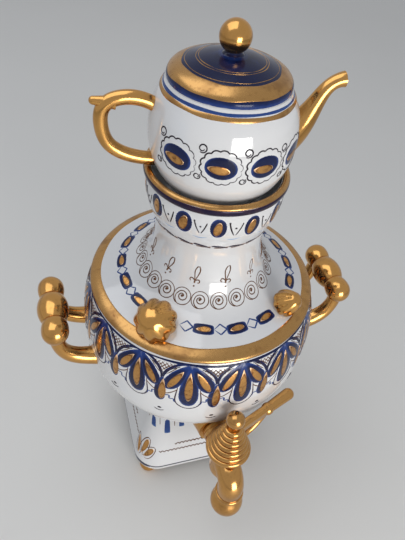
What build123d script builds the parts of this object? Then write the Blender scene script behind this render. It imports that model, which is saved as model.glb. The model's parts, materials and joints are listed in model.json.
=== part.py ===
from build123d import *
from math import cos, pi
import os

# A porcelain samovar with its teapot, in millimetres.  +Z is up and the origin is the centre of the
# square footprint on the table.  The tap looks along -Y and the two handles stand at +X and -X.

# ---- driving dimensions ----------------------------------------------------------------------
FOOT_HEIGHT = 13.0          # bun feet
PLINTH_HALF = 62.0          # half width of the plinth at its lower edge
PLINTH_TOP_HALF = 43.0      # half width at its top
PLINTH_TOP = 92.0           # height of the plinth's top face
BOWL_FLOOR = 102.0          # underside of the bowl, where the waist ring ends
BOWL_RADIUS = 97.0          # the bowl's widest radius
RIM_Z = 226.0               # flat rim of the bowl, where the lid rests
RIM_RADIUS = 90.0           # outer radius of the lid
NECK_RADIUS = 41.4          # top of the lid's neck, which carries the cup
CUP_Z = 292.0               # seat of the cup on the neck
CUP_TOP = 333.0             # rim of the cup
CUP_RADIUS = 50.2           # widest radius of the cup's rolled lip
TEAPOT_Z = 304.0            # floor of the cup, where the teapot stands
TEAPOT_RADIUS = 48.3        # the teapot's widest radius
TEAPOT_TOP = 391.5          # mouth of the teapot
TEAPOT_TURN = -4.0          # direction of the teapot's spout, degrees about Z
WALL = 4.5                  # porcelain wall
SEAT_GAP = 0.4              # side clearance of a lift-off lid or spigot
RUNNING = 0.05              # radial clearance of the tap's ground plug
TAP_Y = -110.0              # axis of the tap's key
SPOUT_Y = -130.0            # axis of the tap's mouth
TAP_Z = 124.0               # axis of the tap's shank
LEVER_TURN = 22.0           # direction of the key's lever when shut, degrees about Z
GRIP_X = 121.0              # axis of the handle grips
GRIP_Z = 207.0
ARM_Y = 22.0                # half distance between the two arms of a handle
KNOB_LEAN = 40.0            # lean of the lid knobs away from the axis, degrees
KNOB_TURNS = {"front": -133.4, "back": 46.6}
VENT_TURN = -48.4

parts = {}


# ---- shape helpers ---------------------------------------------------------------------------
def turned(*edges):
    """Solid turned about Z from a closed chain of edges drawn in the XZ plane."""
    return revolve(make_face(edges), Axis.Z)


def turned_side(points, **spline):
    """Solid turned about Z, whose side is a smooth curve through (radius, height) points."""
    side = Spline(*[(r, 0, z) for r, z in points], **spline)
    low, high = points[0], points[-1]
    ends = [(high[0], 0, high[1]), (0, 0, high[1]), (0, 0, low[1]), (low[0], 0, low[1])]
    return turned(side, *[Line(a, b) for a, b in zip(ends, ends[1:]) if a != b])


def ring(outer, inner, low, high):
    """Flat ring about Z between two heights."""
    blank = Pos(0, 0, (low + high) / 2) * Cylinder(outer, high - low)
    return blank - Pos(0, 0, (low + high) / 2) * Cylinder(inner, high - low + 2)


def rod(start, end, radius, end_radius=None):
    """Round bar, or cone, between two points."""
    axis = Vector(*end) - Vector(*start)
    plane = Plane(origin=start, z_dir=axis)
    middle = plane.location * Pos(0, 0, axis.length / 2)
    if end_radius is None or end_radius == radius:
        return middle * Cylinder(radius, axis.length)
    return middle * Cone(radius, end_radius, axis.length)


def tapered_tube(points, radii):
    """Round tube of changing radius along a smooth curve through the points."""
    path = Spline(*points)
    sections = []
    for index, radius in enumerate(radii):
        place = path ^ (index / (len(radii) - 1))
        sections.append(place * Circle(radius))
    return loft(sections)


def leaned(turn, lean, radius, height):
    """Place on the lid: local Z leans outwards by lean, and the origin is at radius and height."""
    return Rot(0, 0, turn) * Pos(radius, 0, height) * Rot(0, lean, 0)


# ---- the bowl and its plinth ---------------------------------------------------------------
def bowl_side(inset):
    """(radius, height) points of the bowl's side, moved inwards by inset."""
    widest = BOWL_RADIUS - inset
    return [(34, BOWL_FLOOR + inset), (52 - 0.4 * inset, 108 + 0.9 * inset),
            (68 - 0.65 * inset, 119 + 0.75 * inset), (83 - 0.8 * inset, 134 + 0.6 * inset),
            (92.2 - inset, 148 + 0.3 * inset), (widest - 1, 163), (widest, 183),
            (widest - 0.6, 200), (widest - 3, 214), (88.7 - 1.4 * inset, RIM_Z)]


bowl_outer = turned_side(bowl_side(0))
bowl_cavity = turned_side(bowl_side(WALL)) + Pos(0, 0, RIM_Z + 1) * Cylinder(88.7 - 1.4 * WALL, 2)
tap_hole = rod((0, -50, TAP_Z), (0, -100, TAP_Z), 9)
tie_hole = Pos(0, 0, 100) * Cylinder(4.4, 30)
parts["bowl"] = bowl_outer - bowl_cavity - tap_hole - tie_hole

waist_side = [(35, PLINTH_TOP), (31.5, 95), (31.5, 99), (34, BOWL_FLOOR)]
waist = turned_side(waist_side) - Pos(0, 0, 97) * Cylinder(24, 20)
parts["waist_ring"] = waist


def plinth_block(inset, low, high):
    """Four-sided flaring block with rounded corners, moved inwards by inset."""
    sections = []
    for share in (0.0, 0.25, 0.6, 1.0):
        half = PLINTH_TOP_HALF + (PLINTH_HALF - PLINTH_TOP_HALF) * (1 - share) ** 1.3 - inset
        corner = 0.39 * (half + inset) - inset
        height = low + (high - low) * share
        sections.append(Pos(0, 0, height) * RectangleRounded(2 * half, 2 * half, corner))
    return loft(sections)


plinth_skirt = 7.0
skirt = extrude(RectangleRounded(2 * PLINTH_HALF, 2 * PLINTH_HALF, 0.39 * PLINTH_HALF), plinth_skirt)
plinth = plinth_block(0, FOOT_HEIGHT + plinth_skirt, PLINTH_TOP) + Pos(0, 0, FOOT_HEIGHT) * skirt
plinth -= plinth_block(WALL, FOOT_HEIGHT + plinth_skirt, PLINTH_TOP - WALL)
well = PLINTH_HALF - 11
plinth -= Pos(0, 0, FOOT_HEIGHT) * extrude(RectangleRounded(2 * well, 2 * well, 14), plinth_skirt)
parts["plinth"] = plinth - tie_hole

foot_side = [(5, 0), (9.3, 5.2), (7.5, 10.4), (6, FOOT_HEIGHT)]
foot_inset = PLINTH_HALF - 13.5
for depth, y in (("front", -1), ("back", 1)):
    for hand, x in (("left", -1), ("right", 1)):
        parts[f"foot_{depth}_{hand}"] = Pos(x * foot_inset, y * foot_inset, 0) * turned_side(foot_side)

# tie bolt that clamps the bowl, the waist ring and the plinth together
floor_top = BOWL_FLOOR + WALL
ceiling = PLINTH_TOP - WALL
parts["tie_seal"] = ring(12, 4.4, floor_top, floor_top + 2)
bolt = Pos(0, 0, floor_top + 2) * extrude(RegularPolygon(8, 6), 6)
parts["tie_bolt"] = bolt + rod((0, 0, floor_top + 2), (0, 0, ceiling - 14), 4)
parts["tie_washer"] = ring(14, 4.4, ceiling - 2, ceiling)
tie_nut = Pos(0, 0, ceiling - 9) * extrude(RegularPolygon(8, 6), 7)
parts["tie_nut"] = tie_nut - rod((0, 0, 70), (0, 0, 95), 4)


# ---- the two carrying handles ----------------------------------------------------------------
def grip():
    """Turned grip of three bulges, with its axis along Y."""
    end_radius, neck_radius, neck, middle, centre = 10.4, 8.6, 12.8, 12.3, 22.6
    tip, corner = centre + end_radius, end_radius * cos(pi / 4)
    arcs = [ThreePointArc((neck_radius, 0, -neck), (middle, 0, 0), (neck_radius, 0, neck))]
    for side in (-1, 1):
        shoulder = (end_radius, 0, side * centre)
        arcs.append(ThreePointArc((neck_radius, 0, side * neck), (10, 0, side * 17), shoulder))
        arcs.append(ThreePointArc(shoulder, (corner, 0, side * (centre + corner)), (0, 0, side * tip)))
    return Rot(90, 0, 0) * turned(*arcs, Line((0, 0, tip), (0, 0, -tip)))


handle_grip = Pos(GRIP_X, 0, GRIP_Z) * grip()
arm_path = [(GRIP_X, GRIP_Z), (GRIP_X - 0.8, 192), (GRIP_X - 5, 180.5), (GRIP_X - 15, 173), (86, 168)]
for depth, y in (("front", -ARM_Y), ("back", ARM_Y)):
    arm = tapered_tube([(x, y, z) for x, z in arm_path], [5.6, 5.8, 6.3, 7.2, 8.6])
    arm = arm - handle_grip - bowl_outer
    arm = arm.solids().sort_by(SortBy.VOLUME)[-1]
    parts["handle_arm_right_" + depth] = arm
    parts["handle_arm_left_" + depth] = mirror(arm, Plane.YZ)
parts["handle_grip_right"] = handle_grip
parts["handle_grip_left"] = mirror(handle_grip, Plane.YZ)

# ---- the tap ---------------------------------------------------------------------------------
tap_sleeve_radius = 9.0
shank_radius = 7.0
boss = rod((0, -58, TAP_Z - 2), (0, -86, TAP_Z), 22, 16) + rod((0, -86, TAP_Z), (0, -89, TAP_Z), 13)
parts["tap_boss"] = boss - bowl_outer - rod((0, -50, TAP_Z), (0, -95, TAP_Z), tap_sleeve_radius)
sleeve = rod((0, -58, TAP_Z), (0, -89, TAP_Z), tap_sleeve_radius)
parts["tap_sleeve"] = sleeve - rod((0, -50, TAP_Z), (0, -95, TAP_Z), shank_radius) - bowl_cavity

barrel_top = 137.0
barrel_low = 99.0
plug_top_radius = 7.6
plug_low_radius = 6.2
bore_radius = 4.5
barrel_side = [(9, barrel_low), (11.2, 103), (11.4, 112), (11.2, 124), (12.2, 131), (14, barrel_top)]
barrel = Pos(0, TAP_Y, 0) * turned_side(barrel_side)
shank = rod((0, -58, TAP_Z), (0, TAP_Y, TAP_Z), shank_radius) - bowl_cavity
shank += rod((0, -89, TAP_Z), (0, -92.5, TAP_Z), 12.5) + rod((0, -92.5, TAP_Z), (0, TAP_Y, TAP_Z), 9)
elbow_line = FilletPolyline((0, TAP_Y + 4, 118.7), (0, SPOUT_Y, 118.7), (0, SPOUT_Y, 96), radius=11)
elbow = sweep(Plane(origin=(0, TAP_Y + 4, 118.7), z_dir=(0, -1, 0)) * Circle(10.6), path=elbow_line)
bell_side = [(9.8, 98), (9.4, 94), (11.6, 90), (13.6, 84.5), (13.2, 79), (10.5, 75)]
mouth_ring = turned(ThreePointArc((9.8, 0, 101.5), (11.9, 0, 99.5), (9.8, 0, 97.5)),
                    Line((9.8, 0, 97.5), (0, 0, 97.5)), Line((0, 0, 97.5), (0, 0, 101.5)),
                    Line((0, 0, 101.5), (9.8, 0, 101.5)))
bell = Pos(0, SPOUT_Y, 0) * (turned_side(bell_side) + mouth_ring)
turn_in, turn_out = (0, -118, TAP_Z - 0.5), (0, SPOUT_Y, 109)
waterway = rod((0, -50, TAP_Z), (0, -118, TAP_Z), bore_radius)
waterway += rod(turn_in, turn_out, bore_radius) + rod(turn_out, (0, SPOUT_Y, 70), bore_radius)
for corner in (turn_in, turn_out):
    waterway += Pos(*corner) * Sphere(bore_radius)
waterway += rod((0, SPOUT_Y, 84), (0, SPOUT_Y, 74), bore_radius, 8)
plug_seat = Pos(0, TAP_Y, 0) * rod((0, 0, barrel_low), (0, 0, barrel_top),
                                   plug_low_radius + RUNNING, plug_top_radius + RUNNING)
parts["tap_body"] = shank + barrel + elbow + bell - waterway - plug_seat

plug = rod((0, 0, barrel_low - 0.3), (0, 0, barrel_top + 0.3), plug_low_radius, plug_top_radius)
plug += rod((0, 0, 88), (0, 0, barrel_low), 3.4)
plug = Pos(0, TAP_Y, 0) * plug - rod((-20, TAP_Y, TAP_Z), (20, TAP_Y, TAP_Z), bore_radius)
parts["tap_plug"] = plug
parts["tap_washer"] = Pos(0, TAP_Y, 0) * ring(8, 3.4, barrel_low - 2.3, barrel_low - 0.3)
nut_blank = Pos(0, TAP_Y, barrel_low - 8.3) * extrude(RegularPolygon(7, 6), 6)
parts["tap_nut"] = nut_blank - rod((0, TAP_Y, 80), (0, TAP_Y, 99), 3.4)

bead_count = 7
bead_pitch = 4.75
cap_low = barrel_top + 0.3


def stepped_cap():
    """Cone of rounded rings, each narrower than the one below."""
    edges, height = [], cap_low
    for step in range(bead_count):
        radius = 18.2 - 1.75 * step
        low, high = (radius - 2.4, 0, height), (radius - 3.2, 0, height + bead_pitch)
        edges.append(ThreePointArc(low, (radius, 0, height + bead_pitch / 2), high))
        height += bead_pitch
        if step < bead_count - 1:
            edges.append(Line(high, (radius - 1.75 - 2.4, 0, height)))
    top = edges[-1] @ 1
    edges += [Line(top, (0, 0, height)), Line((0, 0, height), (0, 0, cap_low))]
    edges.append(Line((0, 0, cap_low), (18.2 - 2.4, 0, cap_low)))
    return turned(*edges), height


cap, cap_high = stepped_cap()
ball_radius = 7.2
ball_z = cap_high + 3 + ball_radius
parts["tap_cap"] = Pos(0, TAP_Y, 0) * cap
finial = Pos(0, 0, ball_z) * Sphere(ball_radius) + rod((0, 0, cap_high), (0, 0, ball_z), 4)
parts["tap_finial"] = Pos(0, TAP_Y, 0) * finial

lever_z = 160.0
bar = Pos(21, 0, lever_z) * Box(32, 6.5, 10)
bar = fillet(bar.edges().filter_by(Axis.X), 2.4)
lever = bar + Pos(38, 0, lever_z) * Sphere(5.2)
lever += rod((36, 0, lever_z), (61, 0, lever_z + 1), 4.2, 5) + Pos(61, 0, lever_z + 1) * Sphere(5)
brace_line = ThreePointArc((9, 0, 142), (26, 0, 145.5), (35, 0, 157))
lever += sweep((brace_line ^ 0) * Circle(2.9), path=brace_line)
lever = Pos(0, TAP_Y, 0) * Rot(0, 0, LEVER_TURN) * lever - parts["tap_cap"] - parts["tap_finial"]
parts["tap_lever"] = lever.solids().sort_by(SortBy.VOLUME)[-1]

# ---- the lid, its knobs and its steam vent ---------------------------------------------------
neck_bore = 36.6
lid_side = [(82.2, 232.6), (67.7, 237.5), (54.5, 244.2), (46.2, 254), (42, 267), (40.6, 281),
            (NECK_RADIUS, CUP_Z)]
lid_inner = [(78.3, 228.5), (66, 233), (52, 239.8), (42.6, 251), (37.9, 265), (neck_bore, 281),
             (neck_bore, CUP_Z)]
lid_edge = Spline((RIM_RADIUS - 1.5, 0, RIM_Z), (RIM_RADIUS, 0, 228), (87, 0, 230.9), (82.2, 0, 232.6))
lid_outer = turned(lid_edge, Spline(*[(r, 0, z) for r, z in lid_side]),
                   Line((NECK_RADIUS, 0, CUP_Z), (0, 0, CUP_Z)), Line((0, 0, CUP_Z), (0, 0, RIM_Z)),
                   Line((0, 0, RIM_Z), (RIM_RADIUS - 1.5, 0, RIM_Z)))
lid_hollow = turned_side(lid_inner) + Pos(0, 0, 227) * Cylinder(78.3, 3)
flange_outer = 88.7 - 1.4 * WALL - SEAT_GAP
lid = lid_outer - lid_hollow + ring(flange_outer, flange_outer - 3.6, RIM_Z - 8, RIM_Z)

knob_radius, knob_height = 70.0, 236.6
for name, turn in KNOB_TURNS.items():
    place = leaned(turn, KNOB_LEAN, knob_radius, knob_height)
    lid -= place * Pos(0, 0, -5) * Cylinder(2.7, 24)
vent_place = leaned(VENT_TURN, KNOB_LEAN, knob_radius, knob_height)
lid -= vent_place * Pos(0, 0, -5) * Cylinder(3.8, 24)
parts["lid"] = lid


def rosette(radius, petals):
    """Scalloped collar: a low dome ringed by rounded petals, with its axis along Z."""
    reach, crown, foot = radius * 0.80, radius * 0.36, -radius * 0.2
    arc = ThreePointArc((0, 0, crown), (reach * 0.62, 0, crown * 0.6), (reach, 0, -1))
    collar = turned(arc, Line((reach, 0, -1), (reach, 0, foot)), Line((reach, 0, foot), (0, 0, foot)),
                    Line((0, 0, foot), (0, 0, crown)))
    for index in range(petals):
        collar += Rot(0, 0, 360 * (index + 0.3) / petals) * Pos(radius * 0.71, 0, 0) * Sphere(radius * 0.29)
    return collar


knob_place = leaned(KNOB_TURNS["front"], KNOB_LEAN, knob_radius, knob_height)
collar = knob_place * Pos(0, 0, 4.5) * rosette(16, 10) - lid_outer - knob_place * Cylinder(2.5, 60)
collar = collar.solids().sort_by(SortBy.VOLUME)[-1]
knob_ball = knob_place * (Pos(0, 0, 16) * Sphere(7.6) + Pos(0, 0, 1) * Cylinder(2.5, 28)) - collar
pad = knob_place * Pos(0, 0, -6) * Cylinder(5.5, 8) - lid - knob_place * Cylinder(2.5, 60)
pad = pad.solids().sort_by(Axis.Z)[0]
nut = knob_place * (Pos(0, 0, -13) * extrude(RegularPolygon(5, 6), 3) - Cylinder(2.5, 60))
for name, turn in KNOB_TURNS.items():
    turning = Rot(0, 0, turn - KNOB_TURNS["front"])
    parts["knob_rosette_" + name] = turning * collar
    parts["knob_ball_" + name] = turning * knob_ball
    parts["knob_pad_" + name] = turning * pad
    parts["knob_nut_" + name] = turning * nut

vent = vent_place * Pos(0, 0, 3.6) * rosette(12, 9) - lid_outer
vent = vent.solids().sort_by(SortBy.VOLUME)[-1] - vent_place * Cylinder(3.4, 60)
vent_ball = Pos(0, 0, 12.6) * Sphere(6.6) + Pos(0, 0, 2) * Cylinder(3.4, 20)
vent_lift = vent_place * Pos(0, 0, 0.35) * vent_place.inverse()
parts["vent_rosette"] = vent_lift * vent
parts["vent_ball"] = vent_lift * (vent_place * vent_ball - vent)

# ---- the cup that carries the teapot -----------------------------------------------------------
lip = Spline((48.2, 0, 325.5), (CUP_RADIUS, 0, 328.6), (49.4, 0, 332), (46.8, 0, CUP_TOP))
cup_side = Spline((NECK_RADIUS, 0, CUP_Z), (44.8, 0, 299), (47.3, 0, 308), (48.4, 0, 317),
                  (48.2, 0, 325.5))
cup_well = Spline((45, 0, 331.5), (44.4, 0, 322), (41.5, 0, 312.5), (35, 0, 305.6), (29, 0, TEAPOT_Z))
cup_line = [(29, 0, TEAPOT_Z), (0, 0, TEAPOT_Z), (0, 0, 299.5), (31, 0, 299.5), (31, 0, CUP_Z - 7),
            (neck_bore - SEAT_GAP, 0, CUP_Z - 7), (neck_bore - SEAT_GAP, 0, CUP_Z), (NECK_RADIUS, 0, CUP_Z)]
parts["cup"] = turned(cup_side, lip, Line((46.8, 0, CUP_TOP), (45, 0, 331.5)), cup_well,
                      *[Line(a, b) for a, b in zip(cup_line, cup_line[1:])])

# ---- the teapot --------------------------------------------------------------------------------
teapot_side = [(22, 312.5), (36.5, 324), (43.9, 336), (47.4, 348), (TEAPOT_RADIUS, 360), (47.2, 372),
               (44, 382), (40.5, 388), (38.6, TEAPOT_TOP)]
mouth_radius = 33.0
teapot_outer = turned_side(teapot_side)
teapot_inner_side = [(18, 316.5), (33, 327), (40, 338), (43.4, 349), (TEAPOT_RADIUS - 4, 360), (43.1, 371),
                     (39.7, 380), (35, 386), (mouth_radius, TEAPOT_TOP)]
teapot = teapot_outer + ring(25.5, 21, TEAPOT_Z, 315) - turned_side(teapot_inner_side)
teapot -= Pos(0, 0, TEAPOT_TOP) * Cylinder(mouth_radius, 4)
facing = Rot(0, 0, TEAPOT_TURN)
for height, offset in ((0, 0), (6, 3.5), (6, -3.5), (-6, 3.5), (-6, -3.5), (0, 7), (0, -7)):
    teapot -= facing * rod((36, offset, 361 + height), (52, offset, 361 + height), 1.6)
parts["teapot_body"] = teapot

spout_line = [(38, 0, 352), (51, 0, 361), (59.5, 0, 376), (66, 0, 388), (75, 0, 392.5)]
spout = tapered_tube(spout_line, [16, 10.5, 6.8, 4.8, 5.0]) - teapot_outer
spout_bore = tapered_tube([(x - 0.4, y, z - 0.4) for x, y, z in spout_line], [12.5, 7.5, 4.4, 3, 3.4])
spout -= spout_bore
parts["teapot_spout"] = facing * spout.solids().sort_by(SortBy.VOLUME)[-1]

handle_line = Spline((-38, 0, 371), (-50, 0, 378.5), (-62, 0, 380.5), (-74.5, 0, 375.5), (-77, 0, 362),
                     (-72.5, 0, 349.5), (-61, 0, 341.8), (-38, 0, 338.4))
handle = sweep((handle_line ^ 0) * Circle(4.5), path=handle_line)
handle += rod((-68, 0, 377), (-81, 0, 378.5), 4.2, 2.6) + Pos(-81, 0, 378.5) * Sphere(2.6)
handle -= teapot_outer
parts["teapot_handle"] = facing * handle.solids().sort_by(SortBy.VOLUME)[-1]

dome = Spline((38.2, 0, 394.2), (36.8, 0, 397), (28, 0, 401.8), (17, 0, 405.2), (7, 0, 407))
teapot_lid_line = [(7, 0, 407), (0, 0, 407), (0, 0, TEAPOT_TOP), (38.2, 0, TEAPOT_TOP), (38.2, 0, 394.2)]
teapot_lid = turned(dome, *[Line(a, b) for a, b in zip(teapot_lid_line, teapot_lid_line[1:])])
teapot_lid -= turned_side([(29, TEAPOT_TOP), (26, 397.5), (15, 401), (4, 402.6)])
lid_spigot = ring(mouth_radius - SEAT_GAP, 29, TEAPOT_TOP - 8, TEAPOT_TOP)
steam_hole = rod((-13, 0, 390), (-13, 0, 410), 1.2)
parts["teapot_lid"] = teapot_lid + lid_spigot - steam_hole
finial_radius = 9.6
finial_z = 417.0
parts["teapot_finial"] = (Pos(0, 0, finial_z) * Sphere(finial_radius)
                          + turned_side([(7, 407), (5, 408.6), (5, 412)]))

os.makedirs("parts", exist_ok=True)
for node, shape in parts.items():
    export_step(shape, f"parts/{node}.step")
print(len(parts), "nodes")
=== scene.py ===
"""Dressed model of a porcelain samovar with its teapot: glaze, gilding and the painted ornament."""
import json
import logging
import math
from dataclasses import dataclass, field
from enum import Enum
from typing import Sequence

import bpy
import numpy as np
from mathutils import Matrix, Vector


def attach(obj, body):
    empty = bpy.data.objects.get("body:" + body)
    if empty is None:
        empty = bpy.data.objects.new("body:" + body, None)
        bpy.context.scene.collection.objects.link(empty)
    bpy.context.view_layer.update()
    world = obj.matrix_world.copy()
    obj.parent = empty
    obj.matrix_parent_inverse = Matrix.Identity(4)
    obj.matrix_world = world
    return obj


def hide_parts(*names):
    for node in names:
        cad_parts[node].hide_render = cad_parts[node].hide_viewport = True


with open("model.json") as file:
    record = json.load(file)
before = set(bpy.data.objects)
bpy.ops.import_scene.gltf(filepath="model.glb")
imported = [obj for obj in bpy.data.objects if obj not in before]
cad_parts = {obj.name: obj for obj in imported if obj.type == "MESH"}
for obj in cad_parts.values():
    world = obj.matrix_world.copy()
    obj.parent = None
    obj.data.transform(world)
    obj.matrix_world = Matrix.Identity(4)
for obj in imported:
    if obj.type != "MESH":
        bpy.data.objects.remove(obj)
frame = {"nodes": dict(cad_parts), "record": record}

Array = np.ndarray
MM = 0.001
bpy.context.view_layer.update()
PORCELAIN = (0.68, 0.68, 0.69, 1)
EDGE_DIP = -0.15         # how far a stroke's edge sinks under the glaze, as a share of its lift
UNDERSIDE = -0.6         # the same for its hidden underside
BLUNT_TIP = 0.6          # a stroke whose ends keep this share of its width has blunt ends
MOST_KNOTS = 12          # a line of more points than this is drawn as it is given
log = logging.getLogger("samovar")


# ---- lines, walls and skins ------------------------------------------------------------------
def smooth_line(points: Sequence[Sequence[float]], count: int) -> Array:
    """Smooth line through a few points.

    Formula: a cubic spline by chord length.  The second derivatives at the points solve one linear
    system, and between two points the line is their weighted sum plus the cubic terms.  Each end
    takes its slope from the cubic (or the parabola) through the last four (or three) points, and two
    points alone give a straight line.

    Args:
        points: the points that the line passes through, in two or three coordinates.
        count: how many samples to give back, evenly spaced along the chords.

    Returns:
        An array of count rows.
    """
    knots = np.asarray(points, float)
    span = np.linalg.norm(np.diff(knots, axis=0), axis=1)
    reach = np.concatenate(([0.0], np.cumsum(span)))
    system, right = np.eye(len(knots)), np.zeros_like(knots)
    inner = np.arange(1, len(knots) - 1)
    system[inner, inner] = 2 * (span[:-1] + span[1:])
    system[inner, inner - 1] = span[:-1]
    system[inner, inner + 1] = span[1:]
    slope = np.diff(knots, axis=0) / span[:, None]
    right[1:-1] = 6 * np.diff(slope, axis=0)
    order = min(len(knots), 4)
    if order > 2:
        first = np.linalg.solve(np.vander(reach[:order], order), knots[:order])[-2]
        back = np.linalg.solve(np.vander(reach[-1] - reach[-order:], order), knots[-order:])[-2]
        system[0, :2] = 2 * span[0], span[0]
        system[-1, -2:] = span[-1], 2 * span[-1]
        right[0], right[-1] = 6 * (slope[0] - first), 6 * (-back - slope[-1])
    bend = np.linalg.solve(system, right)
    at = np.linspace(0, reach[-1], count)
    piece = np.clip(np.searchsorted(reach, at, side="right") - 1, 0, len(span) - 1)
    length = span[piece][:, None]
    before = (reach[piece + 1] - at)[:, None] / length
    after = 1 - before
    cubic = (before ** 3 - before) * bend[piece] + (after ** 3 - after) * bend[piece + 1]
    return before * knots[piece] + after * knots[piece + 1] + cubic * length ** 2 / 6


def arc_of(line: Array) -> Array:
    """Distance along a sampled line at each of its samples."""
    return np.concatenate(([0.0], np.cumsum(np.linalg.norm(np.diff(line, axis=0), axis=1))))


@dataclass
class Places:
    """Where copies of a motif stand on a wall, one entry each.

    Attributes:
        across: place around the wall, in degrees on a turned wall or in mm on a plinth face.
        up: distance along the wall from its start, in mm.
        turn: turn of the copy in its own plane, in degrees.
        size: scale of the copy.
        tone: shade of the copy's paint, from 0 to 1.
    """

    across: Array
    up: Array
    turn: Array
    size: Array
    tone: Array

    @staticmethod
    def around(across: Sequence[float], up: float | Array, hand: np.random.Generator,
               slip: float = 0.25, twist: float = 2.0, swell: float = 0.03) -> "Places":
        """Copies at the given places, each a little off, as a hand leaves them."""
        spots = np.atleast_1d(np.asarray(across, float))
        count = len(spots)
        return Places(spots, up + slip * hand.normal(size=count), twist * hand.normal(size=count),
                      1 + swell * hand.normal(size=count), hand.random(count))


class TurnedWall:
    """Outer side of a turned vessel, as a place to paint on.

    Formula: a point at distance s along the profile and angle a has the profile's radius and height
    there, pushed out along the profile's normal by the paint's thickness, and turned by a.
    """

    def __init__(self, *profiles: Sequence[Sequence[float]], count: int = 500) -> None:
        """Joins smooth profiles of (radius, height) points, given upwards or inwards."""
        line = np.vstack([smooth_line(p, count) for p in profiles])
        keep = np.concatenate(([True], np.linalg.norm(np.diff(line, axis=0), axis=1) > 1e-6))
        self.line = line[keep]
        self.arc = arc_of(self.line)
        slope = np.gradient(self.line, self.arc, axis=0)
        slope /= np.linalg.norm(slope, axis=1)[:, None]
        self.out = np.stack([slope[:, 1], -slope[:, 0]], axis=1)

    def up_to_height(self, height: float) -> float:
        """Distance along the wall to a height, on a wall that only rises."""
        return float(np.interp(height, self.line[:, 1], self.arc))

    def up_to_radius(self, radius: float) -> float:
        """Distance along the wall to a radius, on a wall that only narrows."""
        return float(np.interp(-radius, -self.line[:, 0], self.arc))

    def at(self, places: Places, x: Array, y: Array, lift: Array) -> Array:
        """Points of a motif on the wall.

        Args:
            places: the copies, of which there are M.
            x: distance to the right of each copy's middle, with M first.
            y: distance up the wall from each copy's middle.
            lift: height above the glaze.

        Returns:
            An array with one more axis, the three coordinates in mm.
        """
        more = (slice(None),) + (None,) * (x.ndim - 1)
        middle = np.interp(places.up, self.arc, self.line[:, 0])[more]
        angle = np.radians(places.across)[more] + x / middle
        along = places.up[more] + y
        radius, height = (np.interp(along, self.arc, self.line[:, k]) for k in (0, 1))
        out, rise = (np.interp(along, self.arc, self.out[:, k]) for k in (0, 1))
        radius = radius + lift * out
        return np.stack([radius * np.cos(angle), radius * np.sin(angle), height + lift * rise], -1)


class Ends(Enum):
    """How a skin of rings is closed."""

    POLES = "the first and last ring shrink to a point"
    LOOP = "the last ring joins the first"


@dataclass
class Skin:
    """A closed surface: its points in mm, its faces, and named values for each point."""

    points: Array
    faces: list[Array]
    values: dict[str, Array] = field(default_factory=dict)


def skin(rings: Array, ends: Ends = Ends.POLES, **values: Array) -> Skin:
    """Closed skin over rings of points, for one form or for many at once.

    Formula: neighbouring rings are joined by four-sided faces.  With poles the first and the last
    ring become their own mean point.  A form whose signed volume is negative is turned inside out.

    Args:
        rings: array (forms, rings, points around, 3); the first axis may be left out.
        ends: how the first and last rings are closed.
        values: arrays of the same shape without the last axis.

    Returns:
        The skin of all forms together.
    """
    rows, columns = rings.shape[-3:-1]
    stack = rings.reshape(-1, rows, columns, 3)
    count = len(stack)
    ring = np.arange(columns)
    after = np.roll(ring, -1)
    if ends is Ends.LOOP:
        row = np.arange(rows)[:, None] * columns
        below = np.roll(row, -1, axis=0)
        size, caps = rows * columns, []

        def kept(data: Array) -> Array:
            """The form's own points, all of them."""
            return data.reshape(count, size, *data.shape[3:])
    else:
        row = np.arange(rows - 3)[:, None] * columns
        below = row + columns
        size, last = (rows - 2) * columns + 2, (rows - 3) * columns
        head = np.stack([np.full(columns, size - 2), after, ring], -1)
        tail = np.stack([np.full(columns, size - 1), last + ring, last + after], -1)
        caps = [head, tail]

        def kept(data: Array) -> Array:
            """The inner rings, then the two poles."""
            inner = data[:, 1:-1].reshape(count, size - 2, *data.shape[3:])
            return np.concatenate([inner, data[:, :1].mean(2), data[:, -1:].mean(2)], axis=1)
    sides = np.stack([row + ring, row + after, below + after, below + ring], -1).reshape(-1, 4)
    points = kept(stack)
    triangles = np.concatenate([sides[:, [0, 1, 2]], sides[:, [0, 2, 3]], *caps])
    a, b, c = (points[:, triangles[:, k]] for k in range(3))
    volume = np.einsum("fij,fij->f", a - points.mean(1)[:, None], np.cross(b - a, c - a))
    shift = size * np.arange(count)[:, None, None]
    faces = []
    for block in [sides] + ([np.concatenate(caps)] if caps else []):
        block = np.where(volume[:, None, None] < 0, block[None, :, ::-1], block[None]) + shift
        faces.append(block.reshape(-1, block.shape[-1]))
    named = {name: kept(np.broadcast_to(v, rings.shape[:-1]).reshape(count, rows, columns)).ravel()
             for name, v in values.items()}
    return Skin(points.reshape(-1, 3), faces, named)


def joined(skins: Sequence[Skin]) -> Skin:
    """Several skins as one, kept as separate shells."""
    starts = np.cumsum([0] + [len(s.points) for s in skins])
    faces = [f + start for s, start in zip(skins, starts) for f in s.faces]
    names = set.intersection(*[set(s.values) for s in skins])
    return Skin(np.concatenate([s.points for s in skins]), faces,
                {n: np.concatenate([s.values[n] for s in skins]) for n in sorted(names)})


# ---- paints and strokes ----------------------------------------------------------------------
class Paint(Enum):
    """What a stroke is painted with."""

    COBALT = "cobalt"
    PALE_BLUE = "pale_blue"
    INK = "ink"
    LUSTRE = "lustre"
    GOLD = "gold"
    BAND = "band"
    NIGHT = "night"
    BLUE_LINE = "blue_line"


LIFT = {Paint.PALE_BLUE: 0.10, Paint.COBALT: 0.18, Paint.NIGHT: 0.22, Paint.INK: 0.26,
        Paint.LUSTRE: 0.26, Paint.GOLD: 0.34, Paint.BAND: 0.24, Paint.BLUE_LINE: 0.14}


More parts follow.
